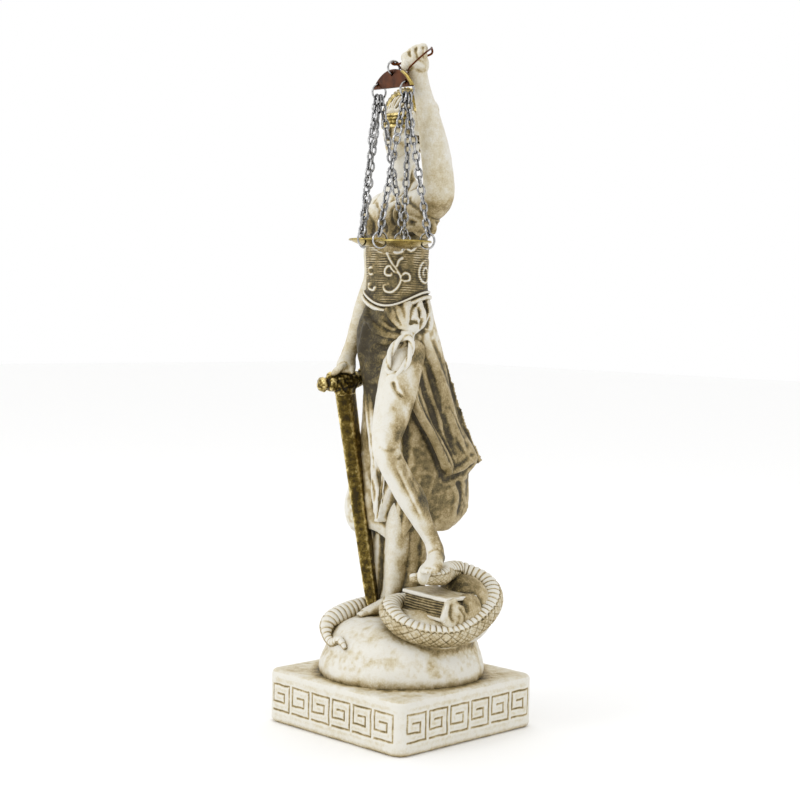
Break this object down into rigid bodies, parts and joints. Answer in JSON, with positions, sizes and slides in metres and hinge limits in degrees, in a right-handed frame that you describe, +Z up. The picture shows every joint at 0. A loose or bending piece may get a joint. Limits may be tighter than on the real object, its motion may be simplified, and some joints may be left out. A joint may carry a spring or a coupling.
{
  "type": "lady justice statuette",
  "caption": "Small cast statuette of a blindfolded, draped figure with a sword and hanging scales, one foot on a book ringed by a snake, on a square plinth.",
  "frame": {"origin": "centre of the plinth's underside", "axes": "+Z up, the figure faces -Y, its left hand is on the +X side"},
  "size_m": [0.0743, 0.0779, 0.242],
  "materials": {
    "cast_resin": "ivory cast resin and stone powder with an olive-brown antique wash in the hollows, matt, with dark antique gold on sword, blindfold and diadem",
    "copper_plate": "copper-brown plated sheet and wire, half polished, brassy along the cut edge",
    "steel_wire": "bright nickel-plated wire rings and cable chain, slightly dulled",
    "brass_pan": "brassy lacquered sheet, turned bright at the rim"
  },
  "bodies": {
    "root": {"cast_statue": "cast_resin", "hanger_wire": "copper_plate", "scale_beam": "copper_plate", "top_ring": "steel_wire", "right_beam_ring": "steel_wire", "right_pan": "brass_pan", "right_pan_ring_1": "steel_wire", "right_chain_1": "steel_wire", "right_pan_ring_2": "steel_wire", "right_chain_2": "steel_wire", "right_pan_ring_3": "steel_wire", "right_chain_3": "steel_wire", "left_beam_ring": "steel_wire", "left_pan": "brass_pan", "left_pan_ring_1": "steel_wire", "left_chain_1": "steel_wire", "left_pan_ring_2": "steel_wire", "left_chain_2": "steel_wire", "left_pan_ring_3": "steel_wire", "left_chain_3": "steel_wire"}
  },
  "joints": []
}
